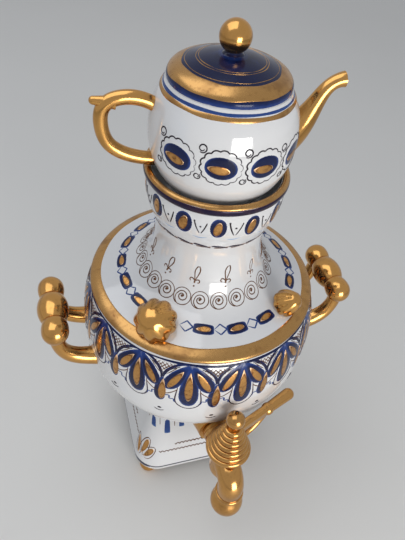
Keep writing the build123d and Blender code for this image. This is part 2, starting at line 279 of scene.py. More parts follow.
@dataclass(frozen=True)
class Stroke:
    """One pull of a brush or pen, drawn flat: x to the right, y up the wall, in mm.

    Attributes:
        paint: what it is painted with.
        points: the middle line, a few points that a smooth line joins, or many that stay as they are.
        width: full width at the widest place.
        belly: place of the widest point, from 0 at the start to 1 at the end.
        fullness: 0.5 makes an oval, 1 a pointed leaf, near 0 a bar.
        tip: share of the width that is left at both ends.
        rows: rings along the stroke.
        across: points across its top.
        closed: the line runs back into itself.
    """

    paint: Paint
    points: Sequence[Sequence[float]]
    width: float
    belly: float = 0.5
    fullness: float = 0.5
    tip: float = 0.0
    rows: int = 14
    across: int = 3
    closed: bool = False

    def drawn(self) -> tuple[Array, Array, Array, Array]:
        """The stroke's flat grid.

        Formula: samples gather towards both ends.  The half width at share t is the full one times
        (1 - (2 t^g - 1)^2) to the power of the fullness, where g puts the widest point at the belly.
        Across, a ring runs over the paint's top from edge to edge and back under it.

        Returns:
            x, y, lift share and edge share, each (rows, ring points).
        """
        if len(self.points) > MOST_KNOTS:
            line = np.asarray(self.points, float)
        else:
            line = smooth_line(self.points, 64)
        arc = arc_of(line)
        share = np.linspace(0, 1, self.rows, endpoint=not self.closed)
        if self.tip < BLUNT_TIP and not self.closed:
            share = (1 - np.cos(np.pi * share)) / 2
        middle = np.stack([np.interp(share * arc[-1], arc, line[:, k]) for k in (0, 1)], -1)
        if self.closed:
            ahead = np.roll(middle, -1, 0) - np.roll(middle, 1, 0)
        else:
            ahead = np.gradient(middle, axis=0)
        ahead /= np.linalg.norm(ahead, axis=1)[:, None] + 1e-12
        even = 2 * share ** (math.log(0.5) / math.log(self.belly)) - 1
        swell = np.clip(1 - even ** 2, 0, 1)
        half = self.width / 2 * (self.tip + (1 - self.tip) * swell ** self.fullness)
        top = np.linspace(-1, 1, self.across)
        ring = np.concatenate([top, top[-2:0:-1]])
        fall = 2 if self.across < 5 else 6
        over = np.concatenate([1 - np.abs(top) ** fall, 0 * top[-2:0:-1] + UNDERSIDE])
        over[[0, self.across - 1]] = EDGE_DIP
        x = middle[:, :1] - ahead[:, 1:] * half[:, None] * ring
        y = middle[:, 1:] + ahead[:, :1] * half[:, None] * ring
        round_ends = swell[:, None] if self.tip < BLUNT_TIP else np.ones((self.rows, 1))
        edge = np.sqrt(np.clip(1 - (1 - ring ** 2) * round_ends, 0, 1))
        return x, y, np.broadcast_to(over, x.shape), edge


class Brush:
    """Paints motifs on one wall and gathers the strokes by paint."""

    def __init__(self, wall: "TurnedWall | PlinthFace") -> None:
        """Starts with a clean wall."""
        self.wall = wall
        self.skins: dict[Paint, list[Skin]] = {}

    def paint(self, strokes: Sequence[Stroke], places: Places) -> None:
        """Puts every stroke of a motif at every place."""
        more = (slice(None), None, None)
        cos, sin = (np.asarray(f(np.radians(places.turn)))[more] for f in (np.cos, np.sin))
        size = places.size[more]
        for stroke in strokes:
            x, y, over, edge = stroke.drawn()
            lift = np.broadcast_to(over * LIFT[stroke.paint], (len(places.across), *x.shape))
            spots = self.wall.at(places, size * (x * cos - y * sin), size * (x * sin + y * cos), lift)
            ends = Ends.LOOP if stroke.closed else Ends.POLES
            along = np.broadcast_to(np.linspace(0, 1, stroke.rows)[:, None], x.shape)
            tone = np.broadcast_to(places.tone[more], lift.shape)
            made = skin(spots, ends, edge=np.broadcast_to(edge, lift.shape),
                        along=np.broadcast_to(along, lift.shape), tone=tone)
            self.skins.setdefault(stroke.paint, []).append(made)

    def band(self, paint: Paint, low: float, high: float, wobble: float = 0.2, seed: int = 1,
             around: int = 300) -> None:
        """A painted ring round a turned wall, from one distance along it to another.

        Formula: both edges wander by a sum of three slow sine waves of the angle.
        """
        hand = np.random.default_rng(seed)
        angle = np.linspace(0, 2 * np.pi, around, endpoint=False)
        waves = np.arange(2, 11, 4)[:, None]
        shift = hand.random((2, 3, 1)) * 2 * np.pi
        wander = wobble * np.sin(waves * angle + shift).mean(1)
        top = np.linspace(-1, 1, max(5, int((high - low) / 0.6) | 1))
        ring = np.concatenate([top, top[-2:0:-1]])[:, None]
        steep = max(8.0, 6.0 * (high - low))
        over = np.concatenate([1 - np.abs(top) ** steep, 0 * top[-2:0:-1] + UNDERSIDE])[:, None]
        over[[0, len(top) - 1]] = EDGE_DIP
        up = (low + high) / 2 + ring * (high - low) / 2
        up = up + wander[0] * (ring < 0) + wander[1] * (ring > 0)
        places = Places(np.degrees(angle), np.zeros(around), *[np.zeros(around)] * 3)
        spots = self.wall.at(places, 0 * up.T, up.T, (over * LIFT[paint] + 0 * up).T)
        made = skin(spots.transpose(1, 0, 2), Ends.LOOP, edge=np.abs(ring) + 0 * up,
                    along=angle / (2 * np.pi) + 0 * up, tone=0.5 + 0 * up)
        self.skins.setdefault(paint, []).append(made)


def ellipse(wide: float, high: float, count: int = 60, bumps: int = 0, depth: float = 0.0) -> Array:
    """Closed line around a middle: an ellipse whose radius swells into rounded bumps."""
    angle = np.linspace(0, 2 * np.pi, count, endpoint=False)
    reach = 1 + depth * (np.abs(np.sin(bumps * angle / 2)) ** 0.7 - 0.5)
    return np.stack([wide * reach * np.cos(angle), high * reach * np.sin(angle)], -1)


def spiral(radii: Sequence[Sequence[float]], start: float, count: int = 80) -> Array:
    """Open spiral: (turns, radius) steps are joined evenly, from a start angle in degrees."""
    steps = np.asarray(radii, float)
    turns = np.linspace(0, steps[-1, 0], count)
    reach = np.interp(turns, steps[:, 0], steps[:, 1])
    angle = np.radians(start) - 2 * np.pi * turns
    return np.stack([reach * np.cos(angle), reach * np.sin(angle)], -1)


def flipped(points: Sequence[Sequence[float]]) -> list[tuple[float, float]]:
    """The same line with left and right exchanged."""
    return [(-x, y) for x, y in points]


# ---- finishes --------------------------------------------------------------------------------
class Shading:
    """Places shader nodes in a tree and joins them."""

    def __init__(self, tree: bpy.types.NodeTree) -> None:
        """Works in the given tree."""
        self.tree = tree

    def add(self, kind: str, settings: dict[str, object] | None = None,
            **inputs: object) -> bpy.types.Node:
        """Adds a node.

        Args:
            kind: the node's type, without the ShaderNode that it starts with.
            settings: the node's own properties.
            inputs: values or output sockets for its inputs, with _ for a blank and iN for a number.

        Returns:
            The node.
        """
        node = self.tree.nodes.new("ShaderNode" + kind)
        for name, value in (settings or {}).items():
            setattr(node, name, value)
        for name, value in inputs.items():
            key = int(name[1:]) if name[0] == "i" and name[1:].isdigit() else name.replace("_", " ")
            socket = node.inputs[key]
            if isinstance(value, bpy.types.NodeSocket):
                self.tree.links.new(value, socket)
            else:
                socket.default_value = value
        return node

    def math(self, operation: str, a: object, b: object = 0.0, clamp: bool = False) -> bpy.types.NodeSocket:
        """Result of one sum."""
        node = self.add("Math", {"operation": operation, "use_clamp": clamp}, i0=a, i1=b)
        return node.outputs[0]

    def step(self, value: object, low: float, high: float) -> bpy.types.NodeSocket:
        """Smooth rise from 0 at low to 1 at high."""
        node = self.add("MapRange", {"interpolation_type": "SMOOTHSTEP"}, i0=value, i1=low, i2=high)
        return node.outputs[0]

    def mix(self, share: object, a: object, b: object) -> bpy.types.NodeSocket:
        """Mix of two colours."""
        node = self.add("Mix", {"data_type": "RGBA"}, i0=share, i6=a, i7=b)
        return node.outputs[2]

    def noise(self, scale: float, detail: float = 2.0, vector: object = None) -> bpy.types.NodeSocket:
        """Noise over the object's own coordinates, in metres."""
        if vector is None:
            vector = self.add("TexCoord").outputs["Object"]
        node = self.add("TexNoise", None, Vector=vector, Scale=scale, Detail=detail)
        return node.outputs["Fac"]


def node_group(name: str, inputs: dict[str, float | tuple], outputs: dict[str, str]) -> tuple:
    """New shader group with named sockets.

    Args:
        name: the group's name.
        inputs: default for each input; a tuple makes a colour, a number a value.
        outputs: kind of each output, Color or Float.

    Returns:
        The group, its shading helper, its input node and its output node.
    """
    group = bpy.data.node_groups.new(name, "ShaderNodeTree")
    for label, value in inputs.items():
        kind = "NodeSocketColor" if isinstance(value, tuple) else "NodeSocketFloat"
        group.interface.new_socket(label, in_out="INPUT", socket_type=kind).default_value = value
    for label, kind in outputs.items():
        group.interface.new_socket(label, in_out="OUTPUT", socket_type="NodeSocket" + kind)
    given = group.nodes.new("NodeGroupInput")
    result = group.nodes.new("NodeGroupOutput")
    return group, Shading(group), given, result


def build_glaze_group() -> bpy.types.NodeTree:
    """Glaze that lies unevenly: slow waves, fine pits and pooled shade."""
    group, s, given, result = node_group(
        "pooled_glaze", {"Tint": (0.86, 0.87, 0.88, 1), "Pool": (0.74, 0.79, 0.87, 1), "Wave": 1.0},
        {"Color": "Color", "Height": "Float", "Roughness": "Float"})
    slow, fine, specks = s.noise(22, 3), s.noise(160, 2), s.noise(700, 2)
    pooled = s.math("MULTIPLY", s.step(slow, 0.5, 0.75), 0.35)
    tinted = s.mix(pooled, given.outputs["Tint"], given.outputs["Pool"])
    speck = s.math("MULTIPLY", s.step(specks, 0.74, 0.80), 0.10)
    link = s.tree.links.new
    link(s.mix(speck, tinted, (0.45, 0.42, 0.38, 1)), result.inputs["Color"])
    height = s.math("ADD", s.math("MULTIPLY", slow, 3.0), s.math("MULTIPLY", fine, 0.35))
    link(s.math("MULTIPLY", height, given.outputs["Wave"]), result.inputs["Height"])
    rough = s.add("Math", {"operation": "MULTIPLY_ADD"}, i0=fine, i1=0.06, i2=0.07)
    link(rough.outputs[0], result.inputs["Roughness"])
    return group


def build_brush_group() -> bpy.types.NodeTree:
    """Brushed colour: dark where the brush was full, lighter at the edge, thin where it left."""
    group, s, given, result = node_group(
        "brushed_colour", {"Full": (0.01, 0.02, 0.12, 1), "Thin": (0.05, 0.14, 0.5, 1),
                           "Ground": (0.86, 0.87, 0.88, 1), "Bleed": 0.9, "Streak": 0.5, "Halo": 0.78},
        {"Color": "Color", "Height": "Float"})
    edge, along, tone = (s.add("Attribute", {"attribute_name": n}).outputs["Fac"]
                         for n in ("edge", "along", "tone"))
    slow, hairs = s.noise(240, 3), s.noise(900, 3)
    ragged = s.math("ADD", edge, s.math("MULTIPLY", s.math("SUBTRACT", slow, 0.5), 0.12))
    thin = s.step(ragged, given.outputs["Halo"], 1.0)
    patch = s.math("MULTIPLY", s.step(s.noise(130, 4), 0.48, 0.74), given.outputs["Streak"])
    streak = s.math("MULTIPLY", s.step(hairs, 0.5, 0.78), given.outputs["Streak"])
    share = s.math("ADD", s.math("MULTIPLY", thin, 0.75), s.math("MULTIPLY", patch, 0.35))
    share = s.math("ADD", share, s.math("MULTIPLY", streak, 0.18))
    share = s.math("ADD", share, s.math("MULTIPLY", tone, 0.12), clamp=True)
    colour = s.mix(share, given.outputs["Full"], given.outputs["Thin"])
    fade = s.step(ragged, given.outputs["Bleed"], s.math("ADD", given.outputs["Bleed"], 0.1))
    s.tree.links.new(s.mix(fade, colour, given.outputs["Ground"]), result.inputs["Color"])
    s.tree.links.new(s.math("ADD", hairs, s.math("MULTIPLY", along, 0.1)), result.inputs["Height"])
    return group


def build_gilding_group() -> bpy.types.NodeTree:
    """Gold with rubbed and darkened patches; painted gold has a dark line inside a pale rim of painted
    highlight.
    """
    group, s, given, result = node_group(
        "worn_gilding", {"Gold": (0.83, 0.52, 0.22, 1), "Tarnish": (0.20, 0.09, 0.035, 1),
                         "Wear": 0.3, "Patch": 90.0, "Rim": 0.0, "Gloss": 0.12},
        {"Color": "Color", "Roughness": "Float", "Height": "Float"})
    place = s.add("TexCoord").outputs["Object"]
    edge = s.add("Attribute", {"attribute_name": "edge"}).outputs["Fac"]
    big = s.add("TexNoise", None, Vector=place, Scale=given.outputs["Patch"], Detail=4.0).outputs["Fac"]
    fine, grain = s.noise(420, 3), s.noise(1500, 2)
    worn = s.math("MULTIPLY", s.step(big, 0.5, 0.72), given.outputs["Wear"])
    rubbed = s.math("MULTIPLY", s.step(fine, 0.52, 0.74), s.math("MULTIPLY", given.outputs["Wear"], 0.6))
    line = s.math("MULTIPLY", s.step(edge, 0.68, 0.80), given.outputs["Rim"])
    share = s.math("ADD", s.math("ADD", worn, rubbed), s.math("MULTIPLY", line, 0.6), clamp=True)
    link = s.tree.links.new
    body = s.mix(share, given.outputs["Gold"], given.outputs["Tarnish"])
    # painted highlight: a pale rim along the edge of painted gold, standing in for light caught by its raised
    # edge
    rim = s.math("MULTIPLY", s.step(edge, 0.86, 0.92), given.outputs["Rim"])
    link(s.mix(rim, body, (0.80, 0.52, 0.30, 1)), result.inputs["Color"])
    rough = s.math("ADD", s.math("MULTIPLY", share, 0.20), s.math("MULTIPLY", grain, 0.08))
    link(s.math("ADD", rough, given.outputs["Gloss"]), result.inputs["Roughness"])
    height = s.math("ADD", s.math("MULTIPLY", big, 2.0), s.math("MULTIPLY", fine, 0.5))
    link(height, result.inputs["Height"])
    return group


@dataclass(frozen=True)
class Glaze:
    """White glaze over porcelain."""

    name: str = "white_glaze"
    tint: tuple = PORCELAIN
    pool: tuple = (0.60, 0.65, 0.72, 1)

    def made(self, groups: dict[str, bpy.types.NodeTree]) -> bpy.types.Material:
        """Material with a clear, slightly wavy coat."""
        material, s, shader = new_material(self.name)
        group = s.add("Group", {"node_tree": groups["glaze"]}, Tint=self.tint, Pool=self.pool, Wave=1.0)
        link = s.tree.links.new
        link(group.outputs["Color"], shader.inputs["Base Color"])
        link(group.outputs["Roughness"], shader.inputs["Roughness"])
        bump = s.add("Bump", None, Strength=0.12, Distance=0.0006, Height=group.outputs["Height"])
        link(bump.outputs[0], shader.inputs["Normal"])
        shader.inputs["Coat Weight"].default_value = 0.7
        shader.inputs["Coat Roughness"].default_value = 0.03
        return material


@dataclass(frozen=True)
class Brushwork:
    """Painted colour under or over the glaze."""

    name: str
    full: tuple
    thin: tuple
    bleed: float = 1.2
    streak: float = 0.5
    halo: float = 0.78
    metallic: float = 0.0
    roughness: float = 0.14
    shine: float = 0.20
    coat: float = 0.10
    ground: tuple = PORCELAIN

    def made(self, groups: dict[str, bpy.types.NodeTree]) -> bpy.types.Material:
        """Material that shades each stroke from its middle to its edge."""
        material, s, shader = new_material(self.name)
        group = s.add("Group", {"node_tree": groups["brush"]}, Full=self.full, Thin=self.thin,
                      Ground=self.ground, Bleed=self.bleed, Streak=self.streak, Halo=self.halo)
        s.tree.links.new(group.outputs["Color"], shader.inputs["Base Color"])
        bump = s.add("Bump", None, Strength=0.10, Distance=0.0003, Height=group.outputs["Height"])
        s.tree.links.new(bump.outputs[0], shader.inputs["Normal"])
        shader.inputs["Metallic"].default_value = self.metallic
        shader.inputs["Roughness"].default_value = self.roughness
        shader.inputs["Specular IOR Level"].default_value = self.shine
        shader.inputs["Coat Weight"].default_value = self.coat
        shader.inputs["Coat Roughness"].default_value = 0.04
        return material


@dataclass(frozen=True)
class Gilding:
    """Gold burnished over glaze or brass."""

    name: str
    gold: tuple = (0.62, 0.33, 0.10, 1)
    tarnish: tuple = (0.20, 0.09, 0.03, 1)
    wear: float = 0.3
    patch: float = 60.0
    bump: float = 0.04
    # strength of the dark edge line and of the painted highlight rim along a stroke's edge
    rim: float = 0.0
    gloss: float = 0.12

    def made(self, groups: dict[str, bpy.types.NodeTree]) -> bpy.types.Material:
        """Metal material with rubbed patches and a slightly wavy face."""
        material, s, shader = new_material(self.name)
        group = s.add("Group", {"node_tree": groups["gilding"]}, Gold=self.gold, Tarnish=self.tarnish,
                      Wear=self.wear, Patch=self.patch, Rim=self.rim, Gloss=self.gloss)
        link = s.tree.links.new
        link(group.outputs["Color"], shader.inputs["Base Color"])
        link(group.outputs["Roughness"], shader.inputs["Roughness"])
        bump = s.add("Bump", None, Strength=self.bump, Distance=0.0008, Height=group.outputs["Height"])
        link(bump.outputs[0], shader.inputs["Normal"])
        shader.inputs["Metallic"].default_value = 1.0
        return material


@dataclass(frozen=True)
class Plain:
    """Turned steel or grey rubber, seen only when the set is taken apart."""

    name: str
    colour: tuple
    shade: tuple
    metallic: float
    roughness: float

    def made(self, groups: dict[str, bpy.types.NodeTree]) -> bpy.types.Material:
        """Material with a fine mottled grain."""
        material, s, shader = new_material(self.name)
        grain = s.noise(900, 4)
        s.tree.links.new(s.mix(grain, self.colour, self.shade), shader.inputs["Base Color"])
        bump = s.add("Bump", None, Strength=0.2, Distance=0.0002, Height=grain)
        s.tree.links.new(bump.outputs[0], shader.inputs["Normal"])
        shader.inputs["Metallic"].default_value = self.metallic
        shader.inputs["Roughness"].default_value = self.roughness
        return material


def new_material(name: str) -> tuple:
    """Empty material, its shading helper and its Principled BSDF."""
    material = bpy.data.materials.new(name)
    material.use_nodes = True
    tree = material.node_tree
    return material, Shading(tree), tree.nodes["Principled BSDF"]


PAINT_FINISH = {
    Paint.COBALT: Brushwork("cobalt_underglaze", (0.004, 0.006, 0.034, 1), (0.018, 0.05, 0.22, 1), 0.97),
    Paint.PALE_BLUE: Brushwork("pale_blue_wash", (0.22, 0.35, 0.56, 1), (0.44, 0.53, 0.64, 1), 0.6, halo=0.3),
    Paint.BLUE_LINE: Brushwork("blue_pen_line", (0.018, 0.048, 0.19, 1), (0.055, 0.13, 0.33, 1)),
    Paint.INK: Brushwork("dark_pen_line", (0.012, 0.008, 0.014, 1), (0.045, 0.032, 0.05, 1)),
    Paint.LUSTRE: Brushwork("brown_lustre_line", (0.10, 0.042, 0.020, 1), (0.24, 0.12, 0.062, 1),
                            roughness=0.25),
    # painted gold has its dark edge line and its pale rim of painted highlight turned on
    Paint.GOLD: Gilding("painted_gold", (0.60, 0.31, 0.10, 1), (0.15, 0.055, 0.02, 1), 0.5, 210.0, 0.10,
                        1.0, 0.20),
    Paint.BAND: Gilding("gold_band", (0.50, 0.28, 0.10, 1), (0.17, 0.075, 0.03, 1), 0.5, 60.0, 0.02,
                        0.0, 0.22),
    Paint.NIGHT: Brushwork("cobalt_with_lustre", (0.008, 0.006, 0.032, 1), (0.10, 0.045, 0.06, 1),
                           streak=0.9, metallic=0.3, roughness=0.16),
}
SLOT_FINISH = {
    "white_porcelain": Glaze(),
    "gilded_porcelain": Gilding("burnished_gold", wear=0.25, patch=55.0),
    "gilded_brass": Gilding("gilded_casting", (0.58, 0.31, 0.10, 1), wear=0.35, patch=45.0, bump=0.08),
    "steel": Plain("turned_steel", (0.50, 0.51, 0.53, 1), (0.36, 0.37, 0.39, 1), 1.0, 0.32),
    "rubber_seal": Plain("grey_rubber", (0.05, 0.05, 0.05, 1), (0.10, 0.10, 0.10, 1), 0.0, 0.7),
}


class Workshop:
    """Holds the finishes and puts finished pieces into the scene."""

    def __init__(self) -> None:
        """Makes every node group and material once."""
        groups = {"glaze": build_glaze_group(), "brush": build_brush_group(),
                  "gilding": build_gilding_group()}
        self.paints = {paint: finish.made(groups) for paint, finish in PAINT_FINISH.items()}
        self.slots = {slot: finish.made(groups) for slot, finish in SLOT_FINISH.items()}

    def dress_frame(self) -> None:
        """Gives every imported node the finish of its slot."""
        for row in frame["record"]["subparts"]:
            node = frame["nodes"][row["node"]]
            node.data.materials.clear()
            node.data.materials.append(self.slots[row["material_slot"]])
            log.info("dressed %s", row["node"])

    def piece(self, name: str, shape: Skin, material: bpy.types.Material, body: str, slot: str,
              replaced: Sequence[str] = (), crease: float = 50.0) -> bpy.types.Object:
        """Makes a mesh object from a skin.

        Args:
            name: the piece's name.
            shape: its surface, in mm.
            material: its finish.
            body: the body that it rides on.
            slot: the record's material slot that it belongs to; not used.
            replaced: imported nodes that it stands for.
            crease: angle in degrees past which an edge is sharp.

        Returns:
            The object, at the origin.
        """
        mesh = bpy.data.meshes.new(name)
        mesh.vertices.add(len(shape.points))
        mesh.vertices.foreach_set("co", (shape.points * MM).astype(np.float32).ravel())
        sizes = np.concatenate([np.full(len(f), f.shape[1]) for f in shape.faces])
        corners = np.concatenate([f.ravel() for f in shape.faces])
        mesh.loops.add(len(corners))
        mesh.loops.foreach_set("vertex_index", corners.astype(np.int32))
        mesh.polygons.add(len(sizes))
        starts = np.concatenate(([0], np.cumsum(sizes)[:-1]))
        mesh.polygons.foreach_set("loop_start", starts.astype(np.int32))
        mesh.update(calc_edges=True)
        mesh.validate()
        mesh.shade_smooth()
        mesh.set_sharp_from_angle(angle=math.radians(crease))
        for label, value in shape.values.items():
            mesh.attributes.new(label, "FLOAT", "POINT").data.foreach_set("value", value.astype(np.float32))
        mesh.materials.append(material)
        made = bpy.data.objects.new(name, mesh)
        bpy.context.scene.collection.objects.link(made)
        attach(made, body)
        if replaced:
            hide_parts(*replaced)
        log.info("%s: %d faces on %s", name, len(sizes), body)
        return made

    def hang(self, prefix: str, brush: Brush, body: str) -> None:
        """Makes one piece of each paint that a brush has used."""
        for paint, skins in brush.skins.items():
            slot = "gilded_porcelain" if paint in (Paint.GOLD, Paint.BAND) else "white_porcelain"
            self.piece(f"{prefix}_{paint.value}", joined(skins), self.paints[paint], body, slot)


# ---- the bowl --------------------------------------------------------------------------------
@dataclass
class BowlOrnament:
    """Fans of cobalt petals with gold hearts that hang from the bowl's rim."""

    fans: int = 15
    first_fan: float = -110.2
    root_height: float = 224.3
    rows_up: tuple = ((34, 102), (52, 108), (68, 119), (83, 134), (92.2, 148), (96, 163), (97, 183),
                      (96.4, 200), (94, 214), (88.7, 226))

    def petals(self) -> list[Stroke]:
        """One fan: three petals, two arching arms, gold hearts and the pen lines round them."""
        petal, gold_heart = [(0, -0.6), (0.2, -22), (0.4, -43)], [(0.2, -6.4), (0, -21), (0.5, -36.5)]
        strokes = [Stroke(Paint.COBALT, petal, 13.8, 0.66, 0.42, rows=22, across=9),
                   Stroke(Paint.GOLD, gold_heart, 6.8, 0.6, 0.6, rows=16, across=9)]
        leaf = [(0.4, -0.8), (7.8, -11.2), (15.6, -25.4)]
        heart = [(4.6, -6.2), (9.0, -13.6), (14.2, -23.8)]
        arm = [(0.6, -1.0), (8.4, -1.7), (14.6, -6.0), (18.4, -13.0), (19.4, -21.5)]
        brown = [(8.0, -24.6), (12.4, -29.6), (17.0, -31.6), (18.8, -27.5)]
        cloud = [(16.4, -30.0), (15.8, -33.6), (12.8, -33.2), (12.4, -36.6), (9.8, -36.4), (9.2, -39.4),
                 (7.4, -39.8)]
        frame_line = [(7.4, -3.2), (15.2, -7.6), (20.2, -14.6)]
        for side in (list, flipped):
            strokes.append(Stroke(Paint.COBALT, side(leaf), 12.0, 0.64, 0.45, rows=20, across=9))
            strokes.append(Stroke(Paint.GOLD, side(heart), 6.2, 0.58, 0.6, rows=14, across=9))
            strokes.append(Stroke(Paint.COBALT, side(arm), 2.5, 0.6, 0.45, 0.15, 18, 5))
            strokes.append(Stroke(Paint.LUSTRE, side(brown), 1.1, tip=0.5, rows=16))
            strokes.append(Stroke(Paint.BLUE_LINE, side(cloud), 1.2, tip=0.6, rows=30))
            strokes.append(Stroke(Paint.INK, side(frame_line), 0.9, tip=0.5, rows=12))
        under = [(-7.6, -22), (-8.6, -33), (-7.4, -41.5), (0.3, -46.6), (8.0, -41.5), (9.0, -33),
                 (7.9, -22)]
        strokes.append(Stroke(Paint.NIGHT, under, 1.2, tip=0.4, rows=30))
        return strokes

    def lattice(self, pitch: float = 3.1) -> list[Stroke]:
        """Crossed pen lines that fill the hollow triangle under the garland.

        Formula: lines leaning both ways are sampled, and the part where the half width at that depth
        is still greater than the distance from the middle is kept.
        """
        strokes = []
        depth = np.linspace(2.0, 14.6, 64)
        room = 12.6 * np.clip((14.6 - depth) / 12.6, 0, 1) ** 1.35
        for start in np.arange(-6, 7) * pitch:
            for lean in (-1, 1):
                x = start + lean * (depth - 8)
                inside = np.flatnonzero(np.abs(x) < room)
                if len(inside) > 8:
                    ends = [(float(x[k]), float(-depth[k])) for k in inside[[0, -1]]]
                    strokes.append(Stroke(Paint.LUSTRE, ends, 0.85, tip=0.8, rows=4))
        return strokes

    def between(self) -> list[Stroke]:
        """What fills the gap between two fans: a lattice, a hanging drop and a comma below."""
        drop = [(-0.2, -14.6), (-1.4, -28), (-0.9, -43)]
        return self.lattice() + [
            Stroke(Paint.COBALT, drop, 8.6, 0.64, 0.45, rows=18, across=7),
            Stroke(Paint.GOLD, [(0.4, -17), (0.1, -29), (-0.2, -41)], 6.2, 0.62, 0.55, rows=16, across=9),
            Stroke(Paint.INK, [(-5.2, -57.0), (-1.9, -59.3), (2.2, -57.2)], 1.2, tip=0.25, rows=10),
            Stroke(Paint.INK, [(-2.6, -55.0), (0.4, -54.6)], 2.6, rows=8, across=5)]

    def build(self, shop: Workshop) -> None:
        """Paints the bowl's outside."""
        wall = TurnedWall(self.rows_up)
        brush = Brush(wall)
        hand = np.random.default_rng(11)
        root = wall.up_to_height(self.root_height)
        turns = self.first_fan + 360 / self.fans * np.arange(self.fans)
        brush.paint(self.petals(), Places.around(turns, root, hand, 0.3, 1.2, 0.02))
        middles = turns + 180 / self.fans
        brush.paint(self.between(), Places.around(middles, root, hand, 0.3, 0.8, 0.02))
        brush.band(Paint.COBALT, root - 1.5, root + 0.4, 0.5, 3)
        shop.hang("bowl_ornament", brush, "samovar")


# ---- the plinth ------------------------------------------------------------------------------
@dataclass
class PlinthFace:
    """One face of the plinth, from its middle round both corners, as a place to paint on.

    Formula: at height z the half width is the top one plus a power of the share that is left to the
    top.  Past the straight part, the distance from the middle turns into an angle round the corner.
    """

    side: int
    low: float = 20.0
    high: float = 92.0
    half_low: float = 62.0
    half_high: float = 43.0
    curve: float = 1.3
    corner: float = 0.39

    def at(self, places: Places, x: Array, y: Array, lift: Array) -> Array:
        """Points of a motif on the face; see TurnedWall.at."""
        more = (slice(None),) + (None,) * (x.ndim - 1)
        along, height = places.across[more] + x, places.up[more] + y
        share = np.clip((height - self.low) / (self.high - self.low), 0, 1)
        half = self.half_high + (self.half_low - self.half_high) * (1 - share) ** self.curve
        lean = (self.half_low - self.half_high) * self.curve * (1 - share) ** (self.curve - 1)
        lean = np.where(height > self.low, lean / (self.high - self.low), 0.0)
        round_off = self.corner * half
        flat = half - round_off
        past = np.clip(np.abs(along) - flat, 0, None) / round_off
        reach = round_off + lift / np.hypot(1, lean)
        sideways = np.sign(along) * (np.minimum(np.abs(along), flat) + reach * np.sin(past))
        outwards = flat + reach * np.cos(past)
        upwards = height + lift * lean / np.hypot(1, lean)
        turn = np.pi / 2 * self.side
        return np.stack([sideways * np.cos(turn) + outwards * np.sin(turn),
                         sideways * np.sin(turn) - outwards * np.cos(turn), upwards], -1)


@dataclass
class PlinthOrnament:
    """Short cobalt strokes, wavy gold lines and corner leaves on the plinth's four faces."""

    strokes: int = 6
    first_stroke: float = -46.0
    pitch: float = 14.2
    line_height: float = 17.6
    line_reach: float = 60.0

    def wave(self, height: float, low: float, high: float) -> Stroke:
        """Wavy pen line, a row of small rounded waves.

        Formula: the height rises by the absolute sine of the distance along the line.
        """
        along = np.linspace(low, high, 140)
        rise = height + 1.9 * np.abs(np.sin(along * math.pi / 3.9))
        return Stroke(Paint.LUSTRE, np.stack([along, rise], -1), 1.4, tip=0.7, rows=140)

    def leaf(self, long: float) -> list[Stroke]:
        """Gold leaf with a pen line round it."""
        blade = [(0, 1), (0.4, long / 2), (0, long)]
        outline = [(-1.4, 1), (-4.4, 0.6 * long), (0, long + 2.6), (4.6, 0.6 * long), (1.6, 1)]
        return [Stroke(Paint.GOLD, blade, 5.6, 0.62, 0.55, rows=14, across=9),
                Stroke(Paint.LUSTRE, outline, 1.0, tip=0.5, rows=30)]

    def build(self, shop: Workshop) -> None:
        """Paints all four faces."""
        hand = np.random.default_rng(23)
        skins: dict[Paint, list[Skin]] = {}
        for side in range(4):
            brush = Brush(PlinthFace(side))
            here = Places.around([0.0], 0.0, hand, 0.0, 0.0, 0.0)
            across = self.first_stroke + self.pitch * np.arange(self.strokes)
            bars = [Stroke(Paint.BLUE_LINE, [(0, 90), (0, 77), (0, 64.5)], 6.4, 0.5, 0.12, 0.5, 16, 7)]
            brush.paint(bars, Places.around(across, 0.0, hand, 1.8, 0.0, 0.0))
            thin = [Stroke(Paint.LUSTRE, [(0, 86), (0, 69)], 1.3, tip=0.5, rows=8)]
            brush.paint(thin, Places.around(across + self.pitch / 2, 0.0, hand, 1.0, 0.0, 0.0))
            lines = [self.wave(36.4, -41.0, 31.0), self.wave(43.6, -24.5, 14.0)]
            foot_line = [(reach, self.line_height) for reach in (-self.line_reach, 0, self.line_reach)]
            lines.append(Stroke(Paint.COBALT, foot_line, 2.4, tip=0.8, rows=60))
            # cobalt foot line round each corner, drawn thicker than the rest: partly a painted line, partly
            # painted shade where the corner meets its foot
            corner_line_and_shade = [(-71, 16.6), (-60, 16.2), (-50, 17.0)]
            lines.append(Stroke(Paint.COBALT, corner_line_and_shade, 5.6, tip=0.2, rows=24))
            brush.paint(lines, here)
            for long, place, up, turn in ((17.0, -66.2, 23.5, 2.0), (23.0, -62.4, 26.5, -28.0),
                                          (18.0, -58.7, 26.0, -44.0)):
                spot = Places.around([place], up, hand, 0.0, 0.0, 0.0)
                spot.turn = np.array([turn])
                brush.paint(self.leaf(long), spot)
            for paint, made in brush.skins.items():
                skins.setdefault(paint, []).extend(made)
        whole = Brush(PlinthFace(0))
        whole.skins = skins
        shop.hang("plinth_ornament", whole, "samovar")


